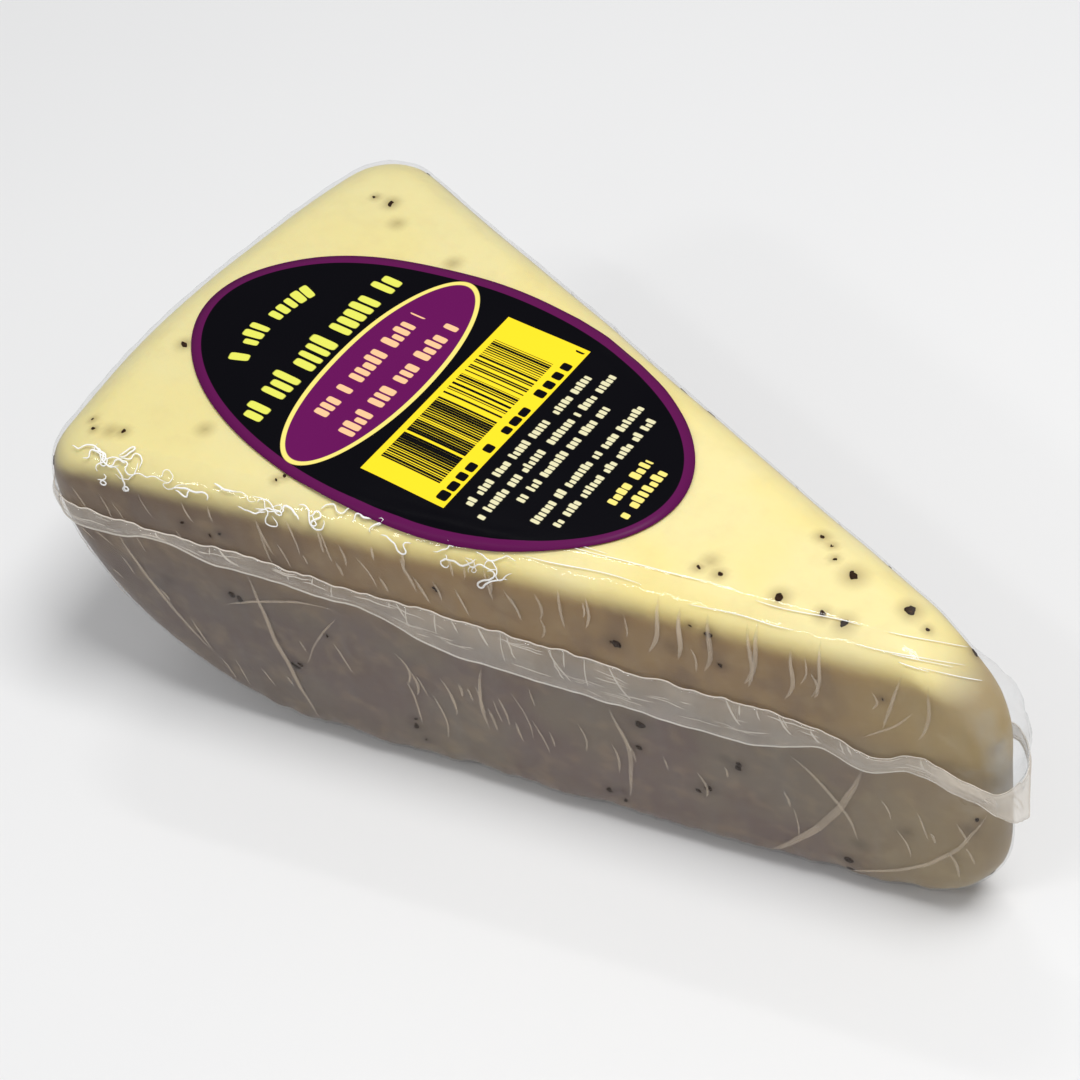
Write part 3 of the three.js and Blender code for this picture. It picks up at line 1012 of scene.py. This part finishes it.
BARS_ALONG, BARS_CROSS = (0.9, 10.0), (-11.5, 11.9)
BAR_PITCH = 0.36
TALLY_AT, TALLY_HEIGHT, TALLY_PITCH = 11.6, 1.6, 1.75
TALLY_CROSS = (-13.6, 14.8)
WORD_BLOCKS = 5.0
CORNER_POWER = 5.0
PRINT_EDGE = 0.05


def label_finish():
    material, tree, at, surface = new_material("printed label")
    local = add(tree, "ShaderNodeMapping", {
        "Vector": at,
        "Location": (LABEL_CENTRE[0] * MM, LABEL_CENTRE[1] * MM, 0),
        "Rotation": (0, 0, LABEL_TURN),
        "Scale": (MM, MM, MM),
    }, vector_type="TEXTURE").outputs[0]
    split = parts(local)
    along, cross = split["X"], split["Y"]

    def inked(inside):
        """Ink where a distance is above 0."""
        return calc("MULTIPLY_ADD", inside, 1 / PRINT_EDGE, 0.5, clamp=True)

    def within(value, low, high):
        """Ink between two lines."""
        off_middle = calc("ABSOLUTE", less(value, (low + high) / 2))
        return inked(less((high - low) / 2, off_middle))

    def length(a, b):
        """The distance that two distances at right angles make."""
        return calc("SQRT", calc("ADD", times(a, a), times(b, b)))

    def oval(middle, half_along, half_cross):
        """Ink inside an oval."""
        off_middle = less(along, middle)
        reach = length(calc("DIVIDE", off_middle, half_along), calc("DIVIDE", cross, half_cross))
        return inked(times(less(1.0, reach), min(half_along, half_cross)))

    def chance(cell, seed):
        """A number from 0 to 1 that belongs to one cell of a row."""
        spot = calc("ADD", cell, seed)
        return add(tree, "ShaderNodeTexWhiteNoise", {"W": spot}, noise_dimensions="1D").outputs["Value"]

    def blocks(run, off_line, height, start, end, pitch, seed):
        """Ink in a row of upright rounded blocks of uneven size, with a gap in every five."""
        step = calc("DIVIDE", less(run, start), pitch)
        cell = calc("FLOOR", step)
        off_middle = calc("ABSOLUTE", less(calc("FRACT", step), 0.5))
        half = calc("MULTIPLY_ADD", chance(cell, seed + 0.13), 0.14, 0.31)
        tall = calc("MULTIPLY_ADD", chance(cell, seed + 40.71), 0.18 * height, 0.32 * height)
        off_foot = calc("ABSOLUTE", less(calc("ADD", off_line, height / 2), tall))
        a = calc("POWER", calc("DIVIDE", off_middle, half), CORNER_POWER)
        b = calc("POWER", calc("DIVIDE", off_foot, tall), CORNER_POWER)
        reach = calc("POWER", calc("ADD", a, b), 1 / CORNER_POWER)
        rounded = inked(times(less(1.0, reach), 0.35 * pitch))
        word = calc("FLOOR", calc("DIVIDE", cell, WORD_BLOCKS))
        gap = calc("FLOOR", times(chance(word, seed + 81.37), WORD_BLOCKS))
        in_word = less(cell, times(word, WORD_BLOCKS))
        off_gap = calc("ABSOLUTE", less(in_word, gap))
        present = calc("GREATER_THAN", off_gap, 0.5)
        return times(rounded, present, within(run, start, end))

    inside_rim = oval(0, LABEL_HALF[0] - LABEL_RIM, LABEL_HALF[1] - LABEL_RIM)
    colour = mixed(inside_rim, PURPLE, NEAR_BLACK)
    colour = mixed(oval(OVAL_AT, *OVAL_RING), colour, PALE_YELLOW)
    colour = mixed(oval(OVAL_AT, *OVAL_INSIDE), colour, OVAL_PURPLE)
    panel = times(within(along, *PANEL_ALONG), within(cross, *PANEL_CROSS))
    colour = mixed(panel, colour, PANEL_YELLOW)
    bar_step = times(cross, 1 / BAR_PITCH)
    bar_cell = calc("FLOOR", bar_step)
    bar_half = calc("MULTIPLY_ADD", chance(bar_cell, 7.3), 0.45, 0.12)
    off_bar = calc("ABSOLUTE", less(calc("FRACT", bar_step), 0.5))
    bar = inked(times(BAR_PITCH, less(bar_half, off_bar)))
    printed = calc("LESS_THAN", chance(bar_cell, 3.9), 0.8)
    bar = times(bar, printed, within(along, *BARS_ALONG), within(cross, *BARS_CROSS))
    colour = mixed(bar, colour, NEAR_BLACK)
    off_tally = times(less(along, TALLY_AT), -1.0)
    tally = blocks(cross, off_tally, TALLY_HEIGHT, *TALLY_CROSS, TALLY_PITCH, 5.5)
    colour = mixed(tally, colour, NEAR_BLACK)
    for row, (middle, height, half_length, pitch, ink) in enumerate(BLOCK_ROWS):
        off_line = less(middle, along)
        words = blocks(cross, off_line, height, -half_length, half_length, pitch, 11.0 * row + 1.7)
        colour = mixed(words, colour, ink)
    centre, radius, height, pitch = ARCHED_ROW
    back = less(centre, along)
    turn = calc("ARCTAN2", cross, back)
    run = times(turn, radius)
    end = ARCHED_HALF_ANGLE * radius
    off_arc = less(length(back, cross), radius)
    arched = blocks(run, off_arc, height, -end, end, pitch, 150.2)
    colour = mixed(arched, colour, YELLOW)
    worn = cloud(at, 9 * MM, 4.0)
    shader = add(tree, "ShaderNodeBsdfPrincipled", {
        "Base Color": colour,
        "Roughness": calc("MULTIPLY_ADD", worn, 0.12, 0.30),
        "Specular IOR Level": 0.06,
        "Normal": bumped(cloud(at, 0.5 * MM, 3.0), 0.008 * MM),
    })
    tree.links.new(shader.outputs[0], surface)
    return material


def label_mesh():
    """The sticker as a thin closed plate that follows the film under it."""
    turn = Matrix.Rotation(LABEL_TURN, 2)
    circles = []
    for ring in range(1, LABEL_RINGS + 1):
        for step in range(LABEL_STEPS):
            angle = math.tau * step / LABEL_STEPS
            flat = Vector((LABEL_HALF[0] * math.cos(angle), LABEL_HALF[1] * math.sin(angle)))
            circles.append(turn @ flat * (ring / LABEL_RINGS) + Vector(LABEL_CENTRE))
    under = [point_on(film_surface, "top", p.x, p.y)[0] for p in [Vector(LABEL_CENTRE), *circles]]
    shell = bmesh.new()
    sheets = []
    for raised in (LABEL_GAP, LABEL_GAP + LABEL_THICKNESS):
        sheets.append([shell.verts.new(p + Vector((0, 0, raised * MM))) for p in under])
    for sheet, upwards in zip(sheets, (False, True)):
        for step in range(LABEL_STEPS):
            following = (step + 1) % LABEL_STEPS
            fan = [sheet[0], sheet[1 + step], sheet[1 + following]]
            shell.faces.new(fan if upwards else fan[::-1])
            for ring in range(LABEL_RINGS - 1):
                inner, outer = 1 + ring * LABEL_STEPS, 1 + (ring + 1) * LABEL_STEPS
                quad = [
                    sheet[inner + step], sheet[outer + step], sheet[outer + following],
                    sheet[inner + following]]
                shell.faces.new(quad if upwards else quad[::-1])
    rim = 1 + (LABEL_RINGS - 1) * LABEL_STEPS
    for step in range(LABEL_STEPS):
        following = (step + 1) % LABEL_STEPS
        low, high = sheets
        shell.faces.new([low[rim + step], low[rim + following], high[rim + following], high[rim + step]])
    mesh = bpy.data.meshes.new("label")
    shell.to_mesh(mesh)
    shell.free()
    mesh.shade_smooth()
    mesh.materials.append(label_finish())
    return mesh


label = place("oval_label", label_mesh())
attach(label, "root")
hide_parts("label")


# ----------------------------------------------------------------------------
# The studio
# A plain pale floor under a dim pale sky. A soft key light stands high to the tip's side, a broad
# weak one fills in from the front, and three narrow ones draw bright lines on the film's edges.

FLOOR_HALF = 2.0
CAMERA_TARGET = Vector((-0.2, -5.9, 36.1)) * MM
CAMERA_TURN = math.radians(-42.9)
CAMERA_RISE = math.radians(48)
CAMERA_ROLL = math.radians(-11)
CAMERA_DISTANCE = 311 * MM
CAMERA_LENS = 85.5
# name, place in m, length and width in m, power in W, the way its length runs
LIGHTS = [
    ("key", (0.22, 0.04, 0.71), (0.26, 0.26), 3.75, (1, 0, 0)),
    ("front", (-0.08, -0.50, 0.82), (1.0, 1.0), 0.66, (1, 0, 0)),
    ("sparkle", (-0.24, -0.593, 0.567), (0.15, 0.05), 0.45, (1, 0, 0)),
    ("edge glow", (-0.06, -0.472, 0.69), (0.18, 0.03), 0.42, (1, 0, 0)),
    ("glint", (-0.258, 0.245, 0.744), (0.20, 0.025), 0.45, (0.93, 0.3, 0.19)),
]


def floor_finish():
    material, tree, at, surface = new_material("pale floor")
    tone = mixed(cloud(at, 0.12, 3.0), (0.80, 0.80, 0.80, 1), (0.84, 0.84, 0.835, 1))
    shader = add(tree, "ShaderNodeBsdfPrincipled", {
        "Base Color": tone, "Roughness": 0.9, "Specular IOR Level": 0.1})
    tree.links.new(shader.outputs[0], surface)
    return material


def area_light(name, place_at, size, power, along):
    """A rectangular light at this place, turned to face the wedge, its length this way round."""
    data = bpy.data.lights.new(name, "AREA")
    data.shape = "RECTANGLE"
    data.size, data.size_y = size
    data.energy = power
    backward = (Vector(place_at) - CAMERA_TARGET).normalized()
    upward = backward.cross(Vector(along)).normalized()
    lamp = place(name, data)
    turned = Matrix((upward.cross(backward), upward, backward)).transposed().to_4x4()
    lamp.matrix_world = Matrix.Translation(place_at) @ turned


floor_mesh = bpy.data.meshes.new("floor")
corners = [(x * FLOOR_HALF, y * FLOOR_HALF, 0) for x, y in ((-1, -1), (1, -1), (1, 1), (-1, 1))]
floor_mesh.from_pydata(corners, [], [(0, 1, 2, 3)])
floor_mesh.materials.append(floor_finish())
floor = place("floor", floor_mesh)

for light in LIGHTS:
    area_light(*light)

world = bpy.data.worlds.new("studio")
world.use_nodes = True
sky = world.node_tree.nodes["Background"]
sky.inputs["Color"].default_value = (0.96, 0.97, 1.0, 1)
sky.inputs["Strength"].default_value = 0.30
bpy.context.scene.world = world
bpy.context.scene.view_settings.view_transform = "Standard"

camera_data = bpy.data.cameras.new("camera")
camera_data.sensor_width = 36
camera_data.lens = CAMERA_LENS
camera_data.clip_start = 0.01
camera_data.clip_end = 20
camera = place("camera", camera_data)
back = Vector((
    math.cos(CAMERA_TURN) * math.cos(CAMERA_RISE),
    math.sin(CAMERA_TURN) * math.cos(CAMERA_RISE),
    math.sin(CAMERA_RISE),
))
level = (-back).cross(Vector((0, 0, 1))).normalized()
upward = level.cross(-back)
camera_x = level * math.cos(CAMERA_ROLL) + upward * math.sin(CAMERA_ROLL)
camera_y = upward * math.cos(CAMERA_ROLL) - level * math.sin(CAMERA_ROLL)
facing = Matrix((camera_x, camera_y, back)).transposed().to_4x4()
camera.matrix_world = Matrix.Translation(CAMERA_TARGET + back * CAMERA_DISTANCE) @ facing
bpy.context.scene.camera = camera
